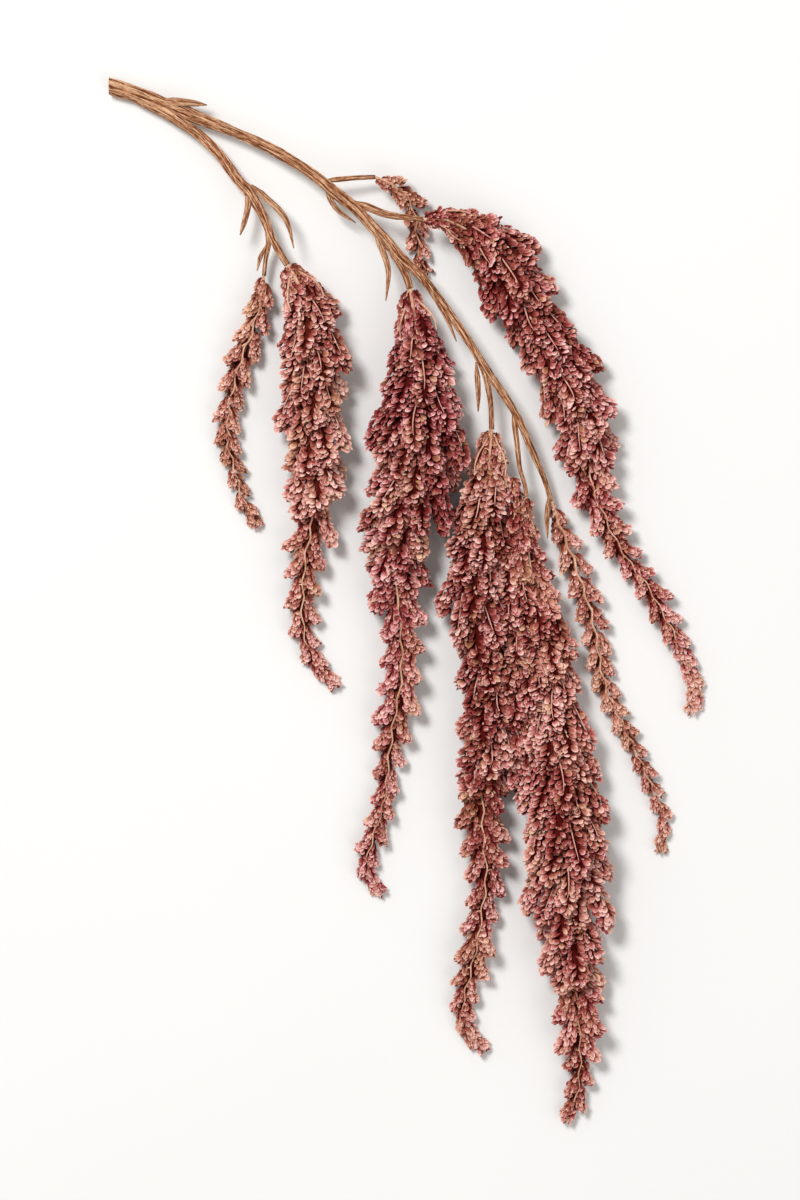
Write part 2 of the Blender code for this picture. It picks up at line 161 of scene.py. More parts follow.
LEFT_BRANCH = [
    (-136.0, 252.4, 5.0, 2.60), (-127.0, 248.2, 5.6, 3.20), (-117.0, 242.6, 6.6, 3.10),
    (-104.4, 233.8, 7.6, 2.95), (-94.5, 224.8, 8.6, 2.80),
    (-88.6, 216.9, 9.5, 2.85), (-82.6, 209.0, 10.4, 3.00), (-78.7, 205.0, 11.0, 3.05),
    (-73.8, 197.1, 11.8, 2.60), (-69.8, 189.3, 12.4, 2.30), (-66.8, 181.3, 12.8, 2.05),
    (-61.9, 172.4, 13.0, 1.90), (-59.0, 167.8, 13.0, 1.80),
]
LEFT_THIN_STALK = [
    (-70.4, 187.6, 12.4, 1.5), (-68.5, 179.5, 11.6, 1.4), (-70.0, 171.0, 9.6, 1.2),
    (-70.9, 162.6, 8.0, 1.1),
]
UPPER_SHORT_STALK = [
    (-41.8, 209.6, 14.2, 1.5), (-33.8, 210.3, 14.2, 1.4), (-24.9, 211.2, 13.0, 1.3),
    (-15.2, 211.8, 11.0, 1.2),
]
RIGHT_STALK = [
    (-25.8, 199.0, 17.0, 2.3), (-17.8, 195.6, 19.6, 2.1), (-11.5, 192.9, 21.2, 2.0),
    (-4.8, 191.3, 22.4, 1.8), (1.9, 190.5, 22.8, 1.5), (8.8, 189.8, 22.4, 1.4),
]
CENTRE_STALK = [
    (-10.3, 178.8, 17.6, 2.2), (-3.6, 169.3, 17.4, 2.1), (0.0, 162.6, 17.0, 2.0),
    (2.3, 155.6, 16.4, 1.9),
]
FRONT_LEFT_STALK = [
    (33.8, 125.8, 17.6, 1.8), (37.0, 119.4, 17.4, 1.7), (40.0, 111.5, 16.8, 1.6),
    (42.5, 98.5, 15.6, 1.5), (43.0, 85.4, 14.6, 1.4),
]
FRONT_RIGHT_STALK = [
    (53.6, 95.0, 15.6, 1.6), (55.6, 78.4, 15.4, 1.4), (57.1, 66.3, 15.0, 1.3),
    (59.4, 58.3, 14.6, 1.2), (60.6, 51.9, 14.0, 1.1),
]


def even_points(points, step):
    """Distances and points at an even step, seen from above, on a smooth curve through points."""
    points = np.array(points, dtype=float)
    padded = np.vstack([2 * points[0] - points[1], points, 2 * points[-1] - points[-2]])
    fine = []
    for before, here, there, after in zip(padded, padded[1:], padded[2:], padded[3:]):
        for t in np.arange(0.0, 1.0, 1 / 12):
            fine.append(here + 0.5 * (
                (there - before) * t
                + (2 * before - 5 * here + 4 * there - after) * t**2
                + (3 * here - before - 3 * there + after) * t**3
            ))
    fine = np.array(fine + [points[-1]])
    strides = np.linalg.norm(np.diff(fine[:, :2], axis=0), axis=1)
    distance = np.concatenate([[0.0], np.cumsum(strides)])
    along = np.linspace(0.0, distance[-1], round(distance[-1] / step) + 1)
    return along, np.column_stack([np.interp(along, distance, column) for column in fine.T])


def unit(vectors):
    return vectors / np.linalg.norm(vectors, axis=-1, keepdims=True)


class Line:
    """The line down the middle of a branch or tassel, with half its thickness at each point."""

    def __init__(self, along, middle, half):
        self.along = along
        self.length = along[-1]
        self.middle = middle
        self.half = half
        self.tangent = unit(np.gradient(middle, axis=0))
        self.side = unit(np.cross((0.0, 0.0, 1.0), self.tangent))
        self.upward = np.cross(self.tangent, self.side)

    def half_at(self, at):
        return np.interp(at, self.along, self.half)

    def directions(self, at):
        return [
            np.stack([np.interp(at, self.along, column) for column in values.T], axis=-1)
            for values in (self.middle, self.tangent, self.side, self.upward)
        ]

    def place(self, at, turn, out, forward=0.0, height_share=1.0):
        """Points this far along, turned round the line, out from it and on towards its end."""
        middle, tangent, side, upward = self.directions(at)
        turn, out, forward = (np.asarray(value)[..., None] for value in (turn, out, forward))
        across = side * np.cos(turn) + upward * np.sin(turn) * height_share
        return middle + across * out + tangent * forward


def choose(obj, part, test):
    """Selects the vertices, edges or faces that pass a test, with the piece in edit mode."""
    bpy.ops.object.mode_set(mode="EDIT")
    modes = {"vertices": "VERT", "edges": "EDGE", "polygons": "FACE"}
    bpy.ops.mesh.select_mode(type=modes[part])
    bpy.ops.mesh.select_all(action="DESELECT")
    bpy.ops.object.mode_set(mode="OBJECT")
    for element in getattr(obj.data, part):
        element.select = test(element)
    bpy.ops.object.mode_set(mode="EDIT")


def straight_tube(name, sides, rows, cap_rings):
    """A closed tube of unit radius, one unit tall, cut into rows, with rings on its two ends."""
    bpy.ops.object.select_all(action="DESELECT")
    bpy.ops.mesh.primitive_cylinder_add(
        vertices=sides, radius=1.0, depth=1.0, end_fill_type="NGON", location=(0.0, 0.0, 0.5)
    )
    tube = bpy.context.object
    tube.name = name
    bpy.ops.object.transform_apply(location=True)
    heights = [vertex.co.z for vertex in tube.data.vertices]
    choose(tube, "edges", lambda e: abs(heights[e.vertices[0]] - heights[e.vertices[1]]) > 0.5)
    bpy.ops.mesh.subdivide(number_cuts=rows - 1)
    choose(tube, "polygons", lambda face: len(face.vertices) > 4)
    for _ in range(cap_rings):
        bpy.ops.mesh.inset(thickness=0.9 / (cap_rings + 1), use_individual=True)
    bpy.ops.mesh.poke()
    bpy.ops.object.mode_set(mode="OBJECT")
    return tube


def read_points(mesh):
    points = np.empty(len(mesh.vertices) * 3)
    mesh.vertices.foreach_get("co", points)
    return points.reshape(-1, 3)


def write_points(mesh, points):
    mesh.vertices.foreach_set("co", (points * MM).astype(np.float32).ravel())
    mesh.update()


def mark(mesh, name, values):
    """A number, or a vector, at each vertex, for the material to read."""
    kind, key = ("FLOAT", "value") if values.ndim == 1 else ("FLOAT_VECTOR", "vector")
    attribute = mesh.attributes.new(name, kind, "POINT")
    attribute.data.foreach_set(key, values.astype(np.float32).ravel())


def grow_wood(name, route, sides, ribs, depth, flat=1.0, cut_end=False, sunk=0.0):
    """A ribbed branch along a route, with its fibres twisted slowly round it. A sunk one starts
    thin and deep in the wood that carries it."""
    along, rows = even_points(route, WOOD_STEP)
    if sunk:
        shown = np.clip(along / SUNK_LENGTH, 0.0, 1.0)
        rows[:, 2] -= sunk * (1.0 - shown)
        rows[:, 3] *= 0.30 + 0.70 * shown
    line = Line(along, rows[:, :3], rows[:, 3])
    branch = straight_tube(name, sides, len(along) - 1, 2)
    start = read_points(branch.data)
    at = np.clip(start[:, 2], 0.0, 1.0) * line.length
    turn = np.arctan2(start[:, 1], start[:, 0])
    out = np.hypot(start[:, 0], start[:, 1])
    grain = turn - BARK_TWIST * at
    wander = 0.22 * np.sin(at / 17.0) + 0.10 * np.sin(at / 6.1 + 3.0 * turn)
    rib = (
        0.42 * np.cos(ribs * grain + wander)
        + 0.34 * np.cos((2 * ribs + 1) * grain + 1.9 * np.sin(at / 19.0) + wander)
        + 0.24 * np.cos((3 * ribs + 2) * grain + 2.6 * np.sin(at / 9.0))
    )
    swell = 1.0 + 0.04 * np.sin(at / 6.3) + 0.03 * np.sin(at / 2.9 + 2.0 * turn)
    radius = out * line.half_at(at) * swell * (1.0 + depth * 0.5 * (rib - 1.0))
    placed = line.place(at, turn, radius, 0.0, flat)
    if cut_end:
        first = start[:, 2] < 0.001
        slant = (CUT_END_X - placed[first, 0]) / line.tangent[0, 0]
        placed[first] += slant[:, None] * line.tangent[0]
        ragged = 0.35 * np.sin(9.0 * turn[first]) * out[first] * (out[first] < 0.95)
        placed[first, 0] += np.abs(ragged)
    write_points(branch.data, placed)
    fibres = np.column_stack([
        np.cos(grain) * line.half_at(at) * out, np.sin(grain) * line.half_at(at) * out,
        at * FIBRE_STRETCH,
    ])
    mark(branch.data, "grain", fibres + 7.0 * (len(name) % 5))
    # the groove mark tells the bark material where to paint shade down in the grooves
    mark(branch.data, "groove_shade", np.clip(0.5 - 0.75 * rib, 0.0, 1.0))
    mark(branch.data, "pith", np.where((out < PITH_SHARE) & cut_end & (at < 1.0), 1.0, 0.0))
    return branch


def join_pieces(name, pieces):
    """Several meshes made one piece."""
    bpy.ops.object.select_all(action="DESELECT")
    for piece in pieces:
        piece.select_set(True)
    bpy.context.view_layer.objects.active = pieces[0]
    bpy.ops.object.join()
    pieces[0].name = name
    pieces[0].data.name = name
    bpy.ops.object.shade_smooth()
    return pieces[0]


def marked(tree, name):
    """A number that the mesh carries at each vertex."""
    return node(tree, "Attribute", attribute_name=name).outputs["Fac"]


def reckon(tree, operation, *values):
    return node(tree, "Math", dict(enumerate(values)), operation=operation).outputs[0]


def dress(tree, shader, colour, wear, roughness, height, strength, distance):
    """Gives a shader its colour, a roughness that goes with the wear, and its bump."""
    tree.links.new(colour, shader.inputs["Base Color"])
    rough = node(tree, "MapRange", {0: wear, 3: roughness[0], 4: roughness[1]}).outputs[0]
    tree.links.new(rough, shader.inputs["Roughness"])
    bump = node(tree, "Bump", {"Height": height, "Strength": strength, "Distance": distance})
    tree.links.new(bump.outputs[0], shader.inputs["Normal"])


def bark(name, dark, middle, light):
    """Dry fibrous bark: long strands, with painted shade darkening the grooves between the ribs.
    """
    material, tree, shader = new_material(name)
    fibre = node(tree, "Attribute", attribute_name="grain").outputs["Vector"]
    groove_shade = marked(tree, "groove_shade")
    pith = marked(tree, "pith")
    place = node(tree, "TexCoord").outputs["Object"]
    broad = noise(tree, fibre, 1.3, 5.0)
    thin = noise(tree, fibre, 3.4, 2.0)
    patch = noise(tree, place, 90.0, 2.0)
    # painted shade: the colour darkens down in the grooves
    sunk = reckon(tree, "MULTIPLY", groove_shade, -0.36)
    lit = reckon(tree, "MULTIPLY_ADD", broad, 1.8, sunk)
    lit = reckon(tree, "MULTIPLY_ADD", thin, 1.5, lit)
    lit = reckon(tree, "MULTIPLY_ADD", patch, 0.30, lit)
    lit = reckon(tree, "SUBTRACT", lit, 1.17)
    fleck = noise(tree, fibre, 6.5, 2.0)
    fleck = node(tree, "MapRange", {0: fleck, 1: 0.58, 2: 0.70, 3: 0.0, 4: 0.42}).outputs[0]
    lit = reckon(tree, "SUBTRACT", lit, fleck)
    colour = ramp(tree, lit, [(0.10, dark), (0.40, middle), (0.74, light)])
    cut = node(tree, "Mix", {0: pith, 6: colour, 7: PITH_COLOUR}, data_type="RGBA").outputs[2]
    raised = reckon(tree, "ADD", thin, broad)
    dress(tree, shader, cut, thin, (0.50, 0.85), raised, 1.0, 0.0008)
    shader.inputs["Specular IOR Level"].default_value = 0.10
    return material


wood = [
    grow_wood("main_stem", MAIN_STEM, 80, 6, 0.30, cut_end=True),
    grow_wood("left_branch", LEFT_BRANCH, 72, 6, 0.30),
]
for number, stalk in enumerate((
    LEFT_THIN_STALK, UPPER_SHORT_STALK, RIGHT_STALK, CENTRE_STALK, FRONT_LEFT_STALK,
    FRONT_RIGHT_STALK,
)):
    wood.append(grow_wood(f"stalk_{number}", stalk, 40, 4, 0.28, sunk=1.2))
bark_of_wood = bark("dry_bark", (0.12, 0.028, 0.009), (0.41, 0.155, 0.066), (0.84, 0.52, 0.32))
woody_stem = join_pieces("woody_stem", wood)
woody_stem.data.materials.clear()
woody_stem.data.materials.append(bark_of_wood)
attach(woody_stem, "root")
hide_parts("stem")

# What is left of the leaf stalks: nine flat, pointed, dry slivers that stay on the wood where the
# leaves were stripped off. They are the same fibrous stuff, a little paler.
LEAF_STUBS = [
    [(-124.0, 250.6, 7.6, 1.7), (-112.5, 249.4, 9.6, 2.1), (-104.5, 248.4, 10.8, 1.6),
     (-99.3, 247.8, 11.2, 0.35)],
    [(-79.4, 206.4, 11.6, 2.0), (-78.8, 197.3, 13.6, 1.7), (-80.8, 188.3, 14.6, 1.4),
     (-82.6, 182.5, 15.0, 0.35)],
    [(-77.2, 208.0, 11.6, 1.8), (-69.3, 200.6, 13.2, 1.8), (-63.4, 195.0, 14.2, 1.8),
     (-58.9, 188.3, 15.4, 1.5), (-55.7, 175.8, 17.4, 0.35)],
    [(-69.4, 178.5, 11.8, 1.2), (-72.6, 171.6, 12.4, 1.2), (-74.2, 164.8, 13.0, 0.3)],
    [(-40.4, 207.5, 14.2, 1.8), (-37.0, 199.4, 13.4, 1.5), (-33.0, 194.2, 12.8, 1.3),
     (-24.8, 188.8, 12.4, 0.3)],
    [(-15.6, 184.5, 17.6, 1.9), (-11.9, 175.3, 19.4, 1.8), (-9.2, 167.3, 20.6, 1.6),
     (-8.6, 160.3, 21.2, 1.3), (-9.8, 149.2, 21.6, 0.35)],
    [(12.2, 155.6, 18.4, 1.3), (17.6, 145.6, 19.6, 1.2), (22.2, 136.6, 20.6, 1.0),
     (25.4, 129.0, 21.2, 0.3)],
    [(35.2, 119.0, 17.4, 1.5), (36.2, 104.0, 18.2, 1.4), (36.2, 94.2, 18.6, 0.35)],
    [(71.9, 54.0, 9.0, 1.4), (70.6, 41.0, 14.0, 1.4), (70.9, 31.0, 15.6, 0.35)],
]
STUB_FLATNESS = 0.55
leaf_stubs = join_pieces("leaf_stubs", [
    grow_wood(f"stub_{number}", route, 28, 3, 0.30, STUB_FLATNESS, sunk=2.2)
    for number, route in enumerate(LEAF_STUBS)
])
leaf_stubs.data.materials.clear()
leaf_stubs.data.materials.append(
    bark("dry_leaf_stub", (0.15, 0.045, 0.016), (0.43, 0.18, 0.085), (0.80, 0.50, 0.31))
)
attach(leaf_stubs, "root")
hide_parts("stem")

# The thin tassel on the left, which hangs from a thread of a stalk. Like all the tassels it is a
# tan thread that carries short side spikes, each a little cone of papery florets that points to
# the tip. The florets' parts are modelled once here, and every tassel is grown from copies.
GOLDEN_ANGLE = math.radians(137.5)
LINE_STEP = 2.0

# how a tassel hangs from its stalk and lies
JOINT_GAP = 0.3
REST_SHARE = 0.72
HEIGHT_SHARE = 0.86
STALK_FADE = 45.0
SETTLE_LENGTH = 12.0
FLOOR_ROOM = 2.4

# where the side spikes stand, and how far they reach
FIRST_SPIKE = 4.0
END_ROOM = 3.0
FINGER_LEAN = 1.3
CROWN_LIFT = 0.45
USUAL_REACH = 0.92
LOBE_SPREAD = 0.4
SIDE_REACH = 0.24
NOTCH = 0.24
TOP_HALF = 12.5
TOP_CLOSER = 0.80
TAIL_HALF = 14.2
SLIM_HALF = 8.0
FAN_LEANS = (-0.95, 0.75)
LOBE_SPACING = 6.5
SPACING_PER_HALF = 0.95
ZIGZAG = -0.9
THREAD_BACK = 5.5

# the petals and the middle of a side spike
PETAL_LENGTH = 2.0
LENGTH_PER_PLUMP = 0.42
WIDTH_SHARE = 0.61
LENGTHS = (0.76, 1.24)
WIDTHS = (0.64, 1.24)
BROAD_LONG_ROUND = (0.42, 0.24, 0.34)
HIDDEN_SIDE = -0.45
SPIKE_TIP = 0.82
PETAL_TILT = ((0.0, 0.5, 0.85, 1.0), (50.0, 46.0, 36.0, 12.0))
BASE_DEPTH = 0.42
SPREAD_BASE = 0.6
ROLL = 0.42
THIN_SPLAY = 0.62
RIM_ANGLE = math.radians(32.0)
# painted light and shade on the petals: paler on a spike's open side and towards its tip, darker
# on its hidden sides and at its foot
OPEN_SIDE_PAINTED_LIGHT = 0.46
TIP_PAINTED_LIGHT = 0.50
PAINTED_SHADE_SHIFT = 0.14
TONE_SPREAD = 0.19
MIDDLE_SHARE = 0.50
# how dark the middles of side spikes are painted, as shade between the petals
MIDDLE_PAINTED_SHADE = 0.12
THIN_MIDDLE_PAINTED_SHADE = 0.42
STRAW_SHARE = 0.05
STRAW_MARK = 0.85
BRACT_COUNT = 6
RIB_CHANCE = 0.5
BRACT_CHANCE = 0.9
FULL = {
    "row_step": 7.8, "finger_area": 330.0, "core_share": 0.58, "core_shown": 0.44,
    "plump": 6.0, "back": 14.0, "full_at": 14.0, "slimmest": 0.58, "cover": 1.48,
}
LOOSE = {
    "core_share": 0.34, "plump": 3.9, "back": 5.5, "full_at": 6.5, "slimmest": 0.66, "cover": 1.54,
}


def model_petal(name, rows, keel, depth):
    """One papery petal, a unit long and a unit wide: rounded, creased along its middle, and closed
    by a blunt back. Each row is how far along it stands, its width and its lift."""
    bpy.ops.object.select_all(action="DESELECT")
    bpy.ops.mesh.primitive_grid_add(
        x_subdivisions=2, y_subdivisions=len(rows) - 1, size=1.0, location=(0.0, 0.5, 0.0)
    )
    petal = bpy.context.object
    petal.name = name
    bpy.ops.object.transform_apply(location=True)
    for number, (place, width, lift) in reversed(list(enumerate(rows))):
        level = number / (len(rows) - 1)
        choose(petal, "vertices", lambda v, level=level: abs(v.co.y - level) < 0.01)
        bpy.ops.transform.translate(value=(0.0, place - level + 2.0, lift))
        if width:
            bpy.ops.transform.resize(
                value=(width, 1.0, 1.0), center_override=(0.0, place + 2.0, lift)
            )
            choose(petal, "vertices", lambda v, place=place: (
                abs(v.co.y - place - 2.0) < 0.01 and abs(v.co.x) < 0.01
            ))
            bpy.ops.transform.translate(value=(0.0, 0.0, keel * width * width))
        else:
            bpy.ops.mesh.merge(type="CENTER")
    bpy.ops.mesh.select_all(action="SELECT")
    bpy.ops.transform.translate(value=(0.0, -2.0, 0.0))
    bpy.ops.mesh.select_all(action="DESELECT")
    bpy.ops.mesh.select_mode(type="EDGE")
    bpy.ops.mesh.select_non_manifold()
    bpy.ops.mesh.edge_face_add()
    choose(petal, "polygons", lambda face: len(face.vertices) > 4)
    bpy.ops.mesh.poke()
    bpy.ops.mesh.select_mode(type="VERT")
    choose(petal, "vertices", lambda vertex: vertex.index == len(petal.data.vertices) - 1)
    bpy.ops.transform.translate(value=(0.0, 0.0, -depth))
    bpy.ops.mesh.select_all(action="SELECT")
    bpy.ops.mesh.quads_convert_to_tris()
    bpy.ops.mesh.normals_make_consistent(inside=False)
    bpy.ops.object.mode_set(mode="OBJECT")
    return take_pattern(petal, toward_rim)


def toward_rim(points):
    """Dark at a petal's foot, paler along its sides and palest at its tip: partly the petal's own
    colour, with painted shade at the foot and a painted highlight along the rim and tip.
    """
    along, aside = points[:, 1], 2.0 * np.abs(points[:, 0])
    return 0.12 + 0.34 * along + 0.36 * aside**2 * along + 0.40 * along**6


def take_pattern(obj, tip_of):
    """A modelled piece's points, faces and how near each point is to the tip or rim."""
    points = read_points(obj.data)
    faces = np.array([tuple(face.vertices) for face in obj.data.polygons])
    bpy.data.objects.remove(obj, do_unlink=True)
    return points, faces, tip_of(points)


broad_petal = model_petal("broad_petal", [
    (0.0, 0.0, 0.0), (0.30, 0.74, 0.05), (0.68, 1.04, 0.08), (0.92, 0.62, 0.02), (1.0, 0.0, -0.03),
], 0.09, 0.20)
long_petal = model_petal("long_petal", [
    (0.0, 0.0, 0.0), (0.32, 0.58, 0.04), (0.68, 0.84, 0.07), (0.91, 0.50, 0.05), (1.0, 0.0, 0.01),
], -0.13, 0.30)
round_petal = model_petal("round_petal", [
    (0.0, 0.0, 0.0), (0.26, 0.72, 0.07), (0.60, 1.06, 0.11), (0.89, 0.74, 0.06), (1.0, 0.0, 0.0),
], -0.10, 0.30)


def model_spindle():
    """The solid middle of a side spike: a ball of unit half width, drawn out from 0 to 1."""
    bpy.ops.object.select_all(action="DESELECT")
    bpy.ops.mesh.primitive_uv_sphere_add(segments=8, ring_count=7, radius=1.0)
    ball = bpy.context.object
    choose(ball, "polygons", lambda face: True)
    bpy.ops.mesh.quads_convert_to_tris()
    bpy.ops.object.mode_set(mode="OBJECT")
    return take_pattern(ball, lambda points: points[:, 0] * 0.0)


spindle = model_spindle()


def model_thread():
    """A short length of thin stalk: a closed tube of unit radius from 0 to 1 along Z."""
    tube = straight_tube("thread", 5, 5, 0)
    choose(tube, "polygons", lambda face: True)
    bpy.ops.mesh.quads_convert_to_tris()
    bpy.ops.object.mode_set(mode="OBJECT")
    return take_pattern(tube, lambda points: points[:, 2])


thread = model_thread()


class Heap:
    """Copies of patterns, gathered into one mesh with their marks."""

    def __init__(self):
        self.points, self.faces, self.marks, self.count = [], [], [], 0

    def add(self, points, faces, marks):
        """points is copies x points x 3, marks is copies x points x marks."""
        copies, size = points.shape[:2]
        starts = self.count + size * np.arange(copies)
        self.points.append(points.reshape(-1, 3))
        self.marks.append(marks.reshape(copies * size, marks.shape[-1]))
        self.faces.append((faces[None] + starts[:, None, None]).reshape(-1, 3))
        self.count += copies * size

    def make(self, name, mark_names):
        points, faces = np.concatenate(self.points), np.concatenate(self.faces)
        low = points[:, 2] < FLOOR_ROOM
        points[low, 2] = FLOOR_ROOM * np.exp(points[low, 2] / FLOOR_ROOM - 1.0)
        mesh = bpy.data.meshes.new(name)
        mesh.from_pydata((points * MM).tolist(), [], faces.tolist())
        for mark_name, values in zip(mark_names, np.concatenate(self.marks).T):
            mark(mesh, mark_name, values)
        mesh.shade_smooth()
        mesh.set_sharp_from_angle(angle=RIM_ANGLE)
        obj = bpy.data.objects.new(name, mesh)
        bpy.context.scene.collection.objects.link(obj)
        return obj


def tassel_line(route, carried_by, step):
    """The middle of a tassel: it leaves its stalk's end and sinks until it rests."""
    before, end = (np.array(point) for point in carried_by[-2:])
    onward = (end - before)[:3] / np.linalg.norm((end - before)[:3])
    start = end[:3] + onward * JOINT_GAP
    along, rows = even_points([(start[0], start[1], end[3])] + route, step)
    half = np.maximum(rows[:, 2], 0.6)
    reach = round(SETTLE_LENGTH / step / 2)
    around = np.pad(half, reach, mode="edge")
    settled = np.convolve(around, np.full(2 * reach + 1, 1 / (2 * reach + 1)), mode="valid")
    rest = REST_SHARE * np.maximum(settled, half)
    fade = np.clip(1.0 - along / STALK_FADE, 0.0, 1.0)
    fade = fade * fade * (3.0 - 2.0 * fade)
    height = rest * (1.0 - fade) + start[2] * fade
    return Line(along, np.column_stack([rows[:, :2], height]), half)


def spike_places(line, build, seed):
    """Where each side spike stands: how far along, how far round, and its share of the reach."""
    draw = random.Random(seed)
    at = FIRST_SPIKE
    turn = draw.uniform(0.0, 2 * math.pi)
    places = []
    while at < line.length - END_ROOM:
        places.append((at, turn % (2 * math.pi), draw.uniform(0.75, 1.1)))
        half = float(line.half_at(at))
        area = build["finger_area"] * min(1.0, 0.45 + half / 30.0)
        at += area / (2 * math.pi * max(half, 4.0))
        turn += GOLDEN_ANGLE
    return places


def plumpness(share):
    """How thick a side spike is along its length: full past its base and rounded at its tip."""
    swell = np.minimum(1.0, 0.60 + 1.4 * share)
    return swell * np.sqrt(1.0 - 0.80 * np.clip((share - 0.68) / 0.32, 0.0, 1.0) ** 2)


class Spike:
    """One side spike: the curve of its middle, and the way out from the tassel. In the full part
    those on the two sides reach furthest, which notches the outline between them."""

    def __init__(self, line, build, at, turn, reach, draw):
        half = float(line.half_at(at))
        if half > TOP_HALF:
            reach += LOBE_SPREAD * (reach - USUAL_REACH) * abs(math.cos(turn))
            reach *= 1.0 + SIDE_REACH * math.cos(turn) ** 4 - NOTCH * math.sin(2 * turn) ** 2
        self.size = float(np.clip(half / build["full_at"], build["slimmest"], 1.0))
        self.size *= draw.uniform(0.92, 1.08)
        self.plump = build["plump"] * self.size
        core = build["core_share"]
        rise = reach * (1.0 - core) * half
        crest = max(core * half + rise, self.plump)
        ahead = FINGER_LEAN * rise
        back = build["back"] * self.size
        turns = (turn + draw.uniform(-0.25, 0.25), turn, turn + draw.uniform(-0.12, 0.12))
        self.points = [
            line.place(max(at - back, 0.2), turns[0], 0.30 * half, 0.0, HEIGHT_SHARE),
            line.place(
                max(at - 0.3 * back, 0.5), turns[1],
                max(crest - 1.60 * self.plump, 0.36 * half), 0.40 * ahead,
                HEIGHT_SHARE,
            ),
            line.place(
                at, turns[2], crest - 0.50 * self.plump, ahead - 0.20 * self.plump, HEIGHT_SHARE
            ),
        ]
        middle, tangent, side, upward = line.directions(at)
        self.outward = side * math.cos(turn) + upward * math.sin(turn)
        self.outward = unit(self.outward + CROWN_LIFT * np.array((0.0, 0.0, 1.0)))
        self.length = sum(
            np.linalg.norm(b - a) for a, b in zip(self.points, self.points[1:])
        )

    def frame(self, share):
        """Middle, direction, way out and way across at these shares of the spike's length."""
        share = np.asarray(share, dtype=float)[..., None]
        first, second, last = self.points
        middle = (
            first * (2 * share**2 - 3 * share + 1) + second * (4 * share - 4 * share**2)
            + last * (2 * share**2 - share)
        )
        tangent = unit(first * (4 * share - 3) + second * (4 - 8 * share) + last * (4 * share - 1))
        outward = self.outward - tangent * (tangent @ self.outward)[..., None]
        outward = unit(outward)
        return middle, tangent, outward, np.cross(tangent, outward)


def add_petals(heap, spike, build, draw, dryness):
    """Petals in a spiral round a side spike. Those on its open side lie down to the left and
    right of its middle, like leaflets, and the others point out and on to the tip."""
    length = LENGTH_PER_PLUMP * spike.plump + PETAL_LENGTH
    width = WIDTH_SHARE * length
    count = int(build["cover"] * 2 * math.pi * spike.plump * spike.length / (length * width))
    shares = np.linspace(0.0, 1.0, 41)
    sums = np.cumsum(plumpness(shares) + 0.10)
    share = np.interp((np.arange(count) + 0.5) / count, sums / sums[-1], shares)
    turn = draw.uniform(0.0, 6.28) + GOLDEN_ANGLE * np.arange(count)
    turn += draw.normal(0.0, 0.16, count)
    shown = (np.cos(turn) > HIDDEN_SIDE) | (share > SPIKE_TIP)
    share, turn = share[shown], turn[shown]
    count = len(share)
    middle, tangent, outward, across = spike.frame(share)
    radial = outward * np.cos(turn)[:, None] + across * np.sin(turn)[:, None]
    opened = np.clip(np.cos(turn), 0.0, 1.0)
    apart = np.where(np.sin(turn) > 0.0, 1.0, -1.0) * (0.5 + 0.5 * np.abs(np.sin(turn)))
    raised = np.cos(turn) * (1.0 - 0.65 * opened)
    away = unit(outward * raised[:, None] + across * apart[:, None])
    tilt = np.radians(np.interp(share, *PETAL_TILT))
    tilt = (tilt * spike.splay + draw.normal(0.0, 0.14, count))[:, None]
    inset = BASE_DEPTH * spike.plump * plumpness(share)
    inset *= np.interp(share, [SPIKE_TIP, 1.0], [1.0, 0.12])
    spread = 0.0 if spike.thin else SPREAD_BASE
    base = middle + radial * (inset * (1.0 + spread * opened))[:, None]
    onward = unit(tangent * np.cos(tilt) + away * np.sin(tilt))
    facing = (0.6 + 0.4 * opened)[:, None] * outward + 0.5 * radial - 0.45 * tangent
    facing += np.array((0.0, 0.0, 0.50 if spike.outward[2] > -0.2 else -0.30))
    facing = unit(facing - onward * (facing * onward).sum(axis=1, keepdims=True))
    roll = draw.normal(0.0, ROLL, count)[:, None]
    facing = unit(facing * np.cos(roll) + np.cross(onward, facing) * np.sin(roll))
    sideways = np.cross(onward, facing)
    lengths = (length * draw.uniform(*LENGTHS, count))[:, None]
    widths = (width * draw.uniform(*WIDTHS, count))[:, None]
    frames = np.stack([sideways * widths, onward * lengths, facing * lengths], axis=1)
    # painted shade and light: petals deep in the hollows between spikes are darker, those on a
    # spike's open side and tip paler
    depth = OPEN_SIDE_PAINTED_LIGHT * np.cos(turn) + TIP_PAINTED_LIGHT * (share - 0.5) - PAINTED_SHADE_SHIFT
    tone = np.clip(draw.normal(0.5, TONE_SPREAD, count) + spike.tone + depth, -0.2, 1.2)
    dry = np.clip(draw.normal(dryness, 0.12, count), 0.0, 1.0)
    dry[draw.uniform(size=count) < STRAW_SHARE] = STRAW_MARK
    kind = draw.choice(3, count, p=BROAD_LONG_ROUND)
    for number, (points, faces, tip) in enumerate((broad_petal, long_petal, round_petal)):
        mine = kind == number
        placed = base[mine][:, None] + np.einsum("vk,mkj->mvj", points, frames[mine])
        marks = np.stack(np.broadcast_arrays(
            tip[None], tone[mine][:, None], dry[mine][:, None]
        ), axis=-1)
        heap.add(placed, faces, marks)


def add_middle(heap, spike):
    """The solid middle of a side spike, coloured dark as painted shade between its petals."""
    points, faces, _ = spindle
    share = (points[:, 2] + 1.0) / 2.0
    middle, _, outward, across = spike.frame(share)
    placed = middle + MIDDLE_SHARE * spike.plump * (
        outward * points[:, :1] + across * points[:, 1:2]
    )
    marks = np.zeros((1, len(points), 3))
    # painted shade: the middle takes the dark end of the colour, less dark in the shallow thin
    # spikes
    marks[:, :, 0] = THIN_MIDDLE_PAINTED_SHADE if spike.thin else MIDDLE_PAINTED_SHADE
    heap.add(placed[None], faces, marks)


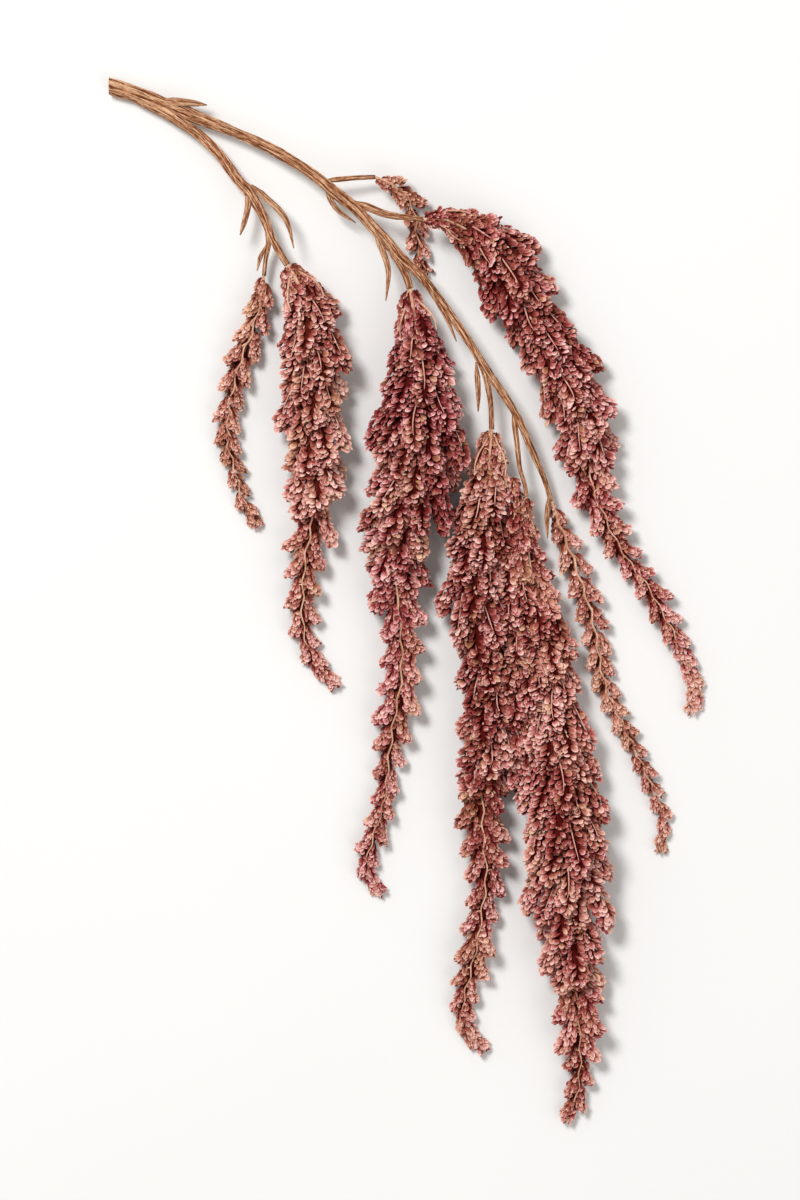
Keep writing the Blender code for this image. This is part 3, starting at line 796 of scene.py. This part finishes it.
def add_bracts(heap, spike, draw):
    """Small, pale, narrow bracts between the petals of a side spike."""
    points, faces, tip = long_petal
    share = draw.uniform(0.20, 0.90, BRACT_COUNT)
    turn = draw.uniform(-1.2, 1.2, BRACT_COUNT)
    middle, tangent, outward, across = spike.frame(share)
    radial = outward * np.cos(turn)[:, None] + across * np.sin(turn)[:, None]
    base = middle + radial * (0.62 * spike.plump * plumpness(share))[:, None]
    tilt = np.radians(draw.uniform(25.0, 50.0, BRACT_COUNT))[:, None]
    onward = tangent * np.cos(tilt) + radial * np.sin(tilt)
    facing = radial * np.cos(tilt) - tangent * np.sin(tilt)
    sideways = np.cross(onward, facing)
    length = 0.25 * spike.plump + 1.3
    frames = np.stack([sideways * 0.40 * length, onward * length, facing * length], axis=1)
    placed = base[:, None] + np.einsum("vk,mkj->mvj", points, frames)
    marks = np.stack(np.broadcast_arrays(
        0.45 + 0.55 * tip[None], np.full((BRACT_COUNT, 1), 0.95), np.full((BRACT_COUNT, 1), 0.45)
    ), axis=-1)
    heap.add(placed, faces, marks)


def add_thread(heap, middles, thick, marks):
    """A thin stalk through three or more points, tapering from one thickness to the other."""
    points, faces, _ = thread
    middles = np.array(middles)
    knots = np.linspace(0.0, 1.0, len(middles))
    middle = np.stack([np.interp(points[:, 2], knots, column) for column in middles.T], axis=-1)
    ways = unit(np.gradient(middles, axis=0))
    way = unit(np.stack([np.interp(points[:, 2], knots, column) for column in ways.T], axis=-1))
    side = unit(np.cross(way, (0.12, 0.21, 1.0)))
    over = np.cross(way, side)
    radius = (thick[0] + (thick[1] - thick[0]) * points[:, 2])[:, None]
    placed = middle + radius * (side * points[:, :1] + over * points[:, 1:2])
    heap.add(placed[None], faces[:, ::-1], np.full((1, len(points), len(marks)), marks))


def papery_florets(name, dark, middle, pale):
    """Dried papery florets: deep red at the foot and pale and rosy along the rim, with painted
    shade at the foot and in the hollows between side spikes, and a painted highlight at the rim
    and tip.
    """
    material, tree, shader = new_material(name)
    tip = marked(tree, "tip")
    tone = marked(tree, "tone")
    dry = marked(tree, "dry")
    place = node(tree, "TexCoord").outputs["Object"]
    vein = noise(tree, place, 900.0, 2.0)
    cloud = noise(tree, place, 55.0, 2.0)
    lift = reckon(tree, "MULTIPLY_ADD", vein, 0.50, -0.25)
    # the tone mark brings random tone together with painted shade from the hollows between side
    # spikes
    tone_vein_and_painted_shade = reckon(tree, "MULTIPLY_ADD", tone, 0.55, lift)
    tone_vein_and_painted_shade = reckon(tree, "SUBTRACT", tone_vein_and_painted_shade, 0.27)
    lit = reckon(tree, "ADD", tip, tone_vein_and_painted_shade)
    # the cream at the very top of the ramp is a painted highlight on the palest tips and rims
    cream_highlight = tuple(0.65 * part + 0.35 * light for part, light in zip(pale, (0.98, 0.84, 0.74)))
    colour = ramp(tree, lit, [(0.14, dark), (0.57, middle), (0.94, pale), (1.0, cream_highlight)])
    straw = ramp(tree, lit, [
        (0.05, (0.10, 0.025, 0.010)), (0.50, (0.42, 0.17, 0.09)), (1.0, (0.80, 0.50, 0.34))
    ])
    aged = reckon(tree, "MULTIPLY_ADD", cloud, 1.5, -0.78)
    aged = node(tree, "Math", {0: dry, 1: aged}, operation="ADD", use_clamp=True).outputs[0]
    mixed = node(tree, "Mix", {0: aged, 6: colour, 7: straw}, data_type="RGBA").outputs[2]
    dress(tree, shader, mixed, vein, (0.42, 0.75), vein, 0.5, 0.0004)
    shader.inputs["Specular IOR Level"].default_value = 0.06
    return material


def thread_material():
    """The thin tan stalks inside the tassels."""
    material, tree, shader = new_material("tan_thread")
    tone = marked(tree, "tone")
    place = node(tree, "TexCoord").outputs["Object"]
    fleck = noise(tree, place, 600.0, 3.0)
    lit = reckon(tree, "MULTIPLY_ADD", fleck, 0.9, tone)
    lit = reckon(tree, "SUBTRACT", lit, 0.45)
    colour = ramp(tree, lit, [
        (0.0, (0.20, 0.06, 0.03)), (0.5, (0.56, 0.28, 0.16)), (1.0, (0.88, 0.60, 0.44))
    ])
    dress(tree, shader, colour, fleck, (0.45, 0.75), fleck, 0.5, 0.0003)
    return material


tan_thread = thread_material()


def alternate_lobes(line, start, end, closer, draw):
    """Where a tassel is thin its spikes are lobes in two rows, left and right in turn, clear of
    each other and of the thread, with a few more underneath."""
    places = []
    at, row = start, 1
    while at < end:
        half = float(line.half_at(at))
        aside = draw.uniform(1.0, 1.55) - np.interp(half, [9.0, 14.0], [0.0, 0.30])
        places.append((at, math.pi / 2 + row * aside, draw.uniform(0.85, 1.10)))
        step = closer * (LOBE_SPACING + SPACING_PER_HALF * half) / 2
        step *= np.interp(half, [SLIM_HALF, 14.0], [1.0, 0.74])
        if row > 0 or half > SLIM_HALF:
            places.append((at + step / 2, -math.pi / 2 - row * draw.uniform(0.0, 0.75), 0.75))
        at += step * draw.uniform(0.85, 1.15)
        row = -row
    return places


def add_rib(heap, spike, draw):
    """A pale midrib that shows on the crest of a side spike."""
    middle, _, outward, across = spike.frame([0.08, 0.26, 0.48, 0.66, 0.80])
    bend = np.array([[-0.4], [0.2], [0.6], [0.2], [-0.4]]) * draw.uniform(-0.2, 0.2)
    lift = np.array([[0.40], [0.72], [0.78], [0.72], [0.50]])
    rib = middle + spike.plump * (outward * lift + across * bend)
    add_thread(heap, rib, (0.45, 0.15), (0.72, 0.80, draw.uniform(0.2, 0.7)))


def add_side_stalk(heap, spike, start, draw):
    """A thin stalk from the tassel's thread into a lobe."""
    middle, _, _, _ = spike.frame([0.20, 0.40, 0.55])
    stem = middle + np.array([(0.0, 0.0, 0.40), (0.0, 0.0, 0.45), (0.0, 0.0, 0.35)]) * spike.plump
    add_thread(heap, [start, *stem], (0.45, 0.25), (draw.uniform(0.40, 0.85),))


def grow_spikes(florets, threads, line, build, places, draw, shades, foot):
    """Side spikes with their florets, bracts and stalks. The foot is the line they leave, and the
    shades say how pale and how strawy they are at shares of the tassel's length."""
    for at, turn, reach in places:
        spike = Spike(line, build, at, turn, reach, draw)
        share = at / line.length
        stops, tones, dries = zip(*shades)
        spike.tone = float(np.interp(share, stops, tones)) + draw.normal(0.0, 0.15)
        spike.thin = line.half_at(at) < TAIL_HALF
        spike.splay = np.interp(spike.outward[2], [0.4, 0.9], [0.76, 1.0])
        if spike.thin:
            spike.splay = THIN_SPLAY
        ribbed = not spike.thin and draw.uniform() < RIB_CHANCE
        dryness = float(np.interp(share, stops, dries)) + draw.normal(0.0, 0.12)
        add_middle(florets, spike)
        add_petals(florets, spike, build, draw, dryness)
        if draw.uniform() < BRACT_CHANCE:
            add_bracts(florets, spike, draw)
        if ribbed:
            add_rib(florets, spike, draw)
        elif spike.thin:
            leaves_at = max(at - THREAD_BACK, 0.0)
            start = [np.interp(leaves_at, line.along, column) for column in foot.T]
            add_side_stalk(threads, spike, start, draw)


def add_main_thread(threads, foot, first_thick, draw):
    """The tan thread that the spikes leave, in short lengths that taper to the tip."""
    lengths = range(0, len(foot) - 1, 3)
    for first in lengths:
        here, there = (
            first_thick + (0.30 - first_thick) * min(1.0, place / (len(foot) - 1)) ** 0.6
            for place in (first, first + 3)
        )
        add_thread(threads, foot[first:first + 4], (here, there), (draw.uniform(0.40, 0.72),))


def add_fan(threads, line, thick, draw):
    """The thin strands into which the stalk splits, spread over the top of a full tassel."""
    for lean in FAN_LEANS:
        at = np.array([0.0, 6.0, 12.0, 18.0, 24.0]) * draw.uniform(0.85, 1.15)
        turn = math.pi / 2 + lean * np.array([0.3, 0.8, 1.0, 1.0, 0.9])
        share = np.array([0.2, 0.62, 0.84, 0.92, 0.86])
        strand = line.place(at, turn, share * line.half_at(at), 0.0, HEIGHT_SHARE)
        for first in (0, 2):
            here, there = (thick * (1.0 - 0.15 * place) for place in (first, first + 2))
            add_thread(threads, strand[first:first + 3], (here, there), (draw.uniform(0.4, 0.75),))


def make_pieces(name, florets, threads, papery, replaced):
    """The florets and the threads of a tassel, as two pieces."""
    florets = florets.make("florets_" + name, ("tip", "tone", "dry"))
    florets.data.materials.append(papery)
    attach(florets, "root")
    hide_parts(replaced)
    threads = threads.make("threads_" + name, ("tone",))
    threads.data.materials.append(tan_thread)
    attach(threads, "root")


def grow_tassel(name, carried_by, route, build, seed, colours, shades):
    """Florets on side spikes round a tan thread, from the stalk's end to the tip. A full tassel
    has a solid middle too, dark as painted shade, and lobes in two rows only at its thin top and
    in its tail."""
    line = tassel_line(route, carried_by, LINE_STEP)
    draw = np.random.default_rng(seed)
    florets, threads = Heap(), Heap()
    thin = FIRST_SPIKE
    places = []
    top_places = []
    if build is FULL:
        tube = straight_tube("middle", 12, len(line.along) - 1, 0)
        choose(tube, "polygons", lambda face: True)
        bpy.ops.mesh.quads_convert_to_tris()
        bpy.ops.object.mode_set(mode="OBJECT")
        points, faces, _ = take_pattern(tube, lambda points: points[:, 2])
        full, thin = line.along[line.half > TOP_HALF][0], line.along[line.half > TAIL_HALF][-1]
        at = np.clip(points[:, 2], 0.0, 1.0) * line.length
        half = line.half_at(at)
        out = np.hypot(points[:, 0], points[:, 1]) * half * build["core_shown"]
        out *= np.interp(at, [full - 8, full + 8, thin - 8, thin + 8], [0.5, 1.0, 1.0, 0.5])
        turn = np.arctan2(points[:, 1], points[:, 0])
        placed = line.place(at, turn, out, 0.0, HEIGHT_SHARE)
        # painted shade: the middle tube takes the darkest end of the floret colour
        florets.add(placed[None], faces, np.zeros((1, len(points), 3)))
        coarse = tassel_line(route, carried_by, build["row_step"])
        places = [place for place in spike_places(coarse, build, seed) if full < place[0] < thin]
        top_places = alternate_lobes(line, FIRST_SPIKE, full, TOP_CLOSER, draw)
        add_fan(threads, line, 0.45 * carried_by[-1][3], draw)
    places += alternate_lobes(line, thin, line.length - END_ROOM, 1.0, draw)
    places.append((line.length - 1.5, math.pi / 2, 0.3))
    lift = np.interp(line.half, [SLIM_HALF, TAIL_HALF, 18.0], [0.46, 0.38, 0.30]) * line.half
    lobes = np.array([place for place in places if place[0] >= thin and math.sin(place[1]) > 0.0])
    sway = ZIGZAG * np.interp(line.along, lobes[:, 0] - build["back"] / 2, -np.cos(lobes[:, 1]))
    sway *= np.clip((line.along - thin) / 10.0, 0.0, 1.0)
    foot = line.place(line.along, np.arctan2(lift, sway), np.hypot(lift, sway), 0.0, HEIGHT_SHARE)
    grow_spikes(florets, threads, line, build, top_places + places, draw, shades, foot)
    add_main_thread(threads, foot[:-1], 0.62 * carried_by[-1][3], draw)
    papery = papery_florets("papery_" + name, *colours)
    make_pieces(name, florets, threads, papery, "tassel_" + name)
    return papery


grow_tassel(
    "left_thin",
    LEFT_THIN_STALK,
    [
        (-72.2, 152.0, 6.4), (-76.9, 134.4, 8.2), (-82.3, 121.0, 8.2), (-85.6, 109.5, 7.6),
        (-88.7, 95.0, 6.6), (-88.7, 78.0, 5.6), (-85.6, 65.5, 5.0), (-82.3, 53.0, 4.2),
        (-77.9, 43.5, 3.2), (-73.6, 37.3, 1.0),
    ],
    LOOSE,
    11,
    ((0.11, 0.012, 0.006), (0.43, 0.125, 0.098), (0.78, 0.43, 0.37)),
    [(0.0, 0.03, 0.30), (1.0, 0.12, 0.26)],
)

# The left tassel, full and long, at the end of the left branch.
grow_tassel(
    "left",
    LEFT_BRANCH,
    [
        (-54.5, 160.0, 9.5), (-49.5, 148.0, 15.0), (-47.0, 137.0, 17.5), (-45.4, 121.0, 19.5),
        (-45.4, 100.0, 17.2), (-45.4, 60.0, 16.3), (-47.0, 37.3, 12.5), (-50.0, 21.9, 10.5),
        (-51.6, -1.0, 8.8), (-50.8, -16.3, 6.5), (-47.0, -27.1, 4.8), (-41.6, -35.5, 3.6),
        (-34.8, -43.6, 1.0),
    ],
    FULL,
    12,
    ((0.10, 0.009, 0.005), (0.39, 0.090, 0.072), (0.79, 0.43, 0.385)),
    [(0.0, 0.02, 0.20), (0.5, 0.16, 0.21), (1.0, 0.30, 0.22)],
)

# The centre tassel, the deepest in colour, on a short thick stalk from the main stem.
grow_tassel(
    "centre",
    CENTRE_STALK,
    [
        (3.4, 147.3, 8.0), (5.6, 135.3, 14.8), (6.6, 118.0, 18.8), (7.3, 95.3, 23.4),
        (5.8, 70.3, 21.6), (1.6, 50.3, 20.8), (-2.6, 35.3, 19.0), (-5.3, 20.3, 17.0),
        (-3.8, 0.3, 13.8), (-1.8, -24.8, 12.0), (-2.8, -44.8, 11.5), (-5.8, -60.0, 10.6),
        (-8.8, -83.8, 6.8), (-9.8, -96.0, 6.2), (-12.3, -106.3, 6.4), (-15.8, -117.3, 7.2),
        (-18.8, -128.3, 5.2), (-18.3, -138.8, 3.8), (-10.8, -146.8, 1.0),
    ],
    FULL,
    13,
    ((0.085, 0.005, 0.005), (0.33, 0.056, 0.054), (0.765, 0.375, 0.365)),
    [(0.0, -0.08, 0.04), (0.45, -0.02, 0.06), (0.60, 0.18, 0.12), (1.0, 0.30, 0.25)],
)

# The front tassels hang side by side and look like one mass until their tails part. The left one
# has the strawier top.
grow_tassel(
    "front_left",
    FRONT_LEFT_STALK,
    [
        (42.6, 80.0, 7.0), (41.8, 68.8, 11.4), (40.8, 55.3, 14.4), (38.6, 42.8, 16.8),
        (37.0, 26.8, 17.0), (35.3, 10.3, 18.4), (36.6, -4.8, 17.8), (40.8, -24.8, 15.6),
        (41.0, -49.8, 16.0), (40.6, -74.8, 16.2), (38.8, -94.8, 14.0), (38.8, -114.8, 12.8),
        (40.3, -137.8, 10.4), (38.3, -155.8, 8.6), (37.0, -165.0, 10.4), (33.5, -182.3, 9.2),
        (29.0, -201.3, 6.0), (29.8, -208.8, 4.6), (31.8, -216.8, 4.0), (39.8, -226.3, 1.0),
    ],
    FULL,
    14,
    ((0.09, 0.005, 0.004), (0.335, 0.065, 0.056), (0.775, 0.405, 0.375)),
    [(0.0, 0.12, 0.40), (0.15, 0.02, 0.25), (0.35, -0.22, 0.08), (0.60, -0.06, 0.10),
     (0.75, 0.24, 0.20), (1.0, 0.30, 0.30)],
)
front_right_papery = grow_tassel(
    "front_right",
    FRONT_RIGHT_STALK,
    [
        (59.4, 45.3, 3.4), (60.2, 35.3, 5.9), (61.4, 27.8, 7.6), (62.4, 17.8, 8.9),
        (66.4, 4.3, 12.0), (70.4, -14.8, 14.4), (72.0, -31.3, 15.2), (73.3, -44.8, 16.0),
        (75.2, -56.3, 17.6), (76.0, -74.8, 18.6), (78.0, -94.8, 21.4), (80.5, -123.8, 22.6),
        (82.0, -144.8, 20.2), (81.3, -157.3, 17.6), (82.8, -174.8, 17.4), (84.8, -192.3, 13.4),
        (86.3, -202.3, 14.0), (87.0, -216.8, 13.4), (87.6, -228.3, 8.6), (86.3, -245.8, 6.6),
        (83.8, -254.8, 5.0), (80.8, -261.5, 1.0),
    ],
    FULL,
    15,
    ((0.09, 0.005, 0.004), (0.365, 0.070, 0.060), (0.775, 0.39, 0.36)),
    [(0.0, 0.0, 0.16), (0.3, 0.12, 0.12), (1.0, 0.12, 0.15)],
)


def grow_seam(route, step, seed, shades, papery):
    """Side spikes of the right front tassel that lie over the left one and close the seam."""
    along, rows = even_points(route, LINE_STEP)
    line = Line(along, rows[:, :3], rows[:, 3])
    draw = np.random.default_rng(seed)
    florets, threads = Heap(), Heap()
    places = [
        (at, math.pi / 2 + (-1) ** number * draw.uniform(0.15, 0.85), draw.uniform(0.8, 1.1))
        for number, at in enumerate(np.arange(6.0, line.length, step))
    ]
    grow_spikes(florets, threads, line, FULL, places, draw, shades, line.middle)
    make_pieces("front_seam", florets, threads, papery, "tassel_front_right")


grow_seam(
    [
        (55.0, 62.0, 13.0, 6.0), (55.5, 40.0, 12.0, 9.0), (54.0, 18.0, 10.0, 13.0),
        (55.0, 0.0, 9.5, 15.0), (57.0, -25.0, 9.5, 15.0), (58.0, -50.0, 9.5, 15.0),
        (57.0, -78.0, 9.0, 12.0), (55.5, -96.0, 8.5, 7.0),
    ],
    8.0,
    19,
    [(0.0, -0.10, 0.18), (0.4, 0.0, 0.12), (1.0, -0.08, 0.12)],
    front_right_papery,
)

# The thin tassel on the right carries on from the end of the main stem.
grow_tassel(
    "right_thin",
    MAIN_STEM,
    [
        (78.0, 36.0, 6.0), (82.3, 25.3, 7.6), (86.2, 14.3, 7.8), (91.2, -0.3, 7.4),
        (94.4, -12.3, 6.8), (97.2, -29.3, 6.4), (99.8, -41.6, 6.0), (103.5, -51.3, 5.6),
        (109.5, -63.3, 5.0), (119.3, -83.8, 4.6), (124.0, -94.8, 4.4), (128.3, -104.8, 3.8),
        (130.0, -111.8, 2.8), (128.8, -119.3, 2.0), (127.8, -126.3, 0.8),
    ],
    LOOSE,
    16,
    ((0.15, 0.026, 0.014), (0.47, 0.150, 0.118), (0.79, 0.45, 0.38)),
    [(0.0, 0.12, 0.30), (1.0, 0.20, 0.26)],
)

# The right tassel, rosy, arches out on the longest stalk and passes over the short upper one.
grow_tassel(
    "right",
    RIGHT_STALK,
    [
        (16.2, 189.8, 4.6), (21.6, 189.0, 8.6), (31.2, 184.3, 13.0), (40.8, 177.5, 17.0),
        (48.3, 168.9, 19.6), (55.1, 159.4, 18.4), (60.8, 148.8, 17.0), (65.6, 139.3, 16.2),
        (71.3, 128.8, 16.5), (76.1, 119.3, 17.0), (81.8, 108.8, 17.0), (86.7, 97.3, 17.0),
        (90.3, 84.8, 16.8), (92.0, 68.0, 13.6), (94.0, 54.3, 12.3), (98.6, 44.5, 11.3),
        (104.0, 32.4, 9.5), (110.8, 21.5, 7.2), (116.8, 13.0, 6.8), (122.8, 5.0, 8.2),
        (128.3, -5.3, 7.0), (133.8, -14.8, 6.0), (138.6, -24.8, 4.6), (142.8, -34.3, 4.0),
        (145.0, -42.8, 3.5), (145.0, -50.0, 2.8), (141.7, -55.8, 0.9),
    ],
    FULL,
    17,
    ((0.09, 0.005, 0.004), (0.365, 0.070, 0.060), (0.78, 0.395, 0.37)),
    [(0.0, -0.26, 0.02), (0.25, -0.12, 0.05), (0.6, 0.08, 0.10), (0.8, 0.38, 0.20),
     (1.0, 0.50, 0.25)],
)

# The short upper tassel hangs behind the right one's stalk.
grow_tassel(
    "upper_short",
    UPPER_SHORT_STALK,
    [
        (-7.6, 208.4, 5.4), (-2.2, 205.0, 6.2), (1.9, 200.3, 6.2), (4.2, 194.9, 5.8),
        (5.5, 188.3, 5.6), (5.9, 182.9, 5.3), (6.8, 176.3, 5.0), (8.4, 169.5, 4.4),
        (11.3, 164.6, 1.3),
    ],
    LOOSE,
    18,
    ((0.09, 0.010, 0.005), (0.44, 0.125, 0.095), (0.80, 0.46, 0.385)),
    [(0.0, 0.05, 0.26), (1.0, 0.05, 0.22)],
)
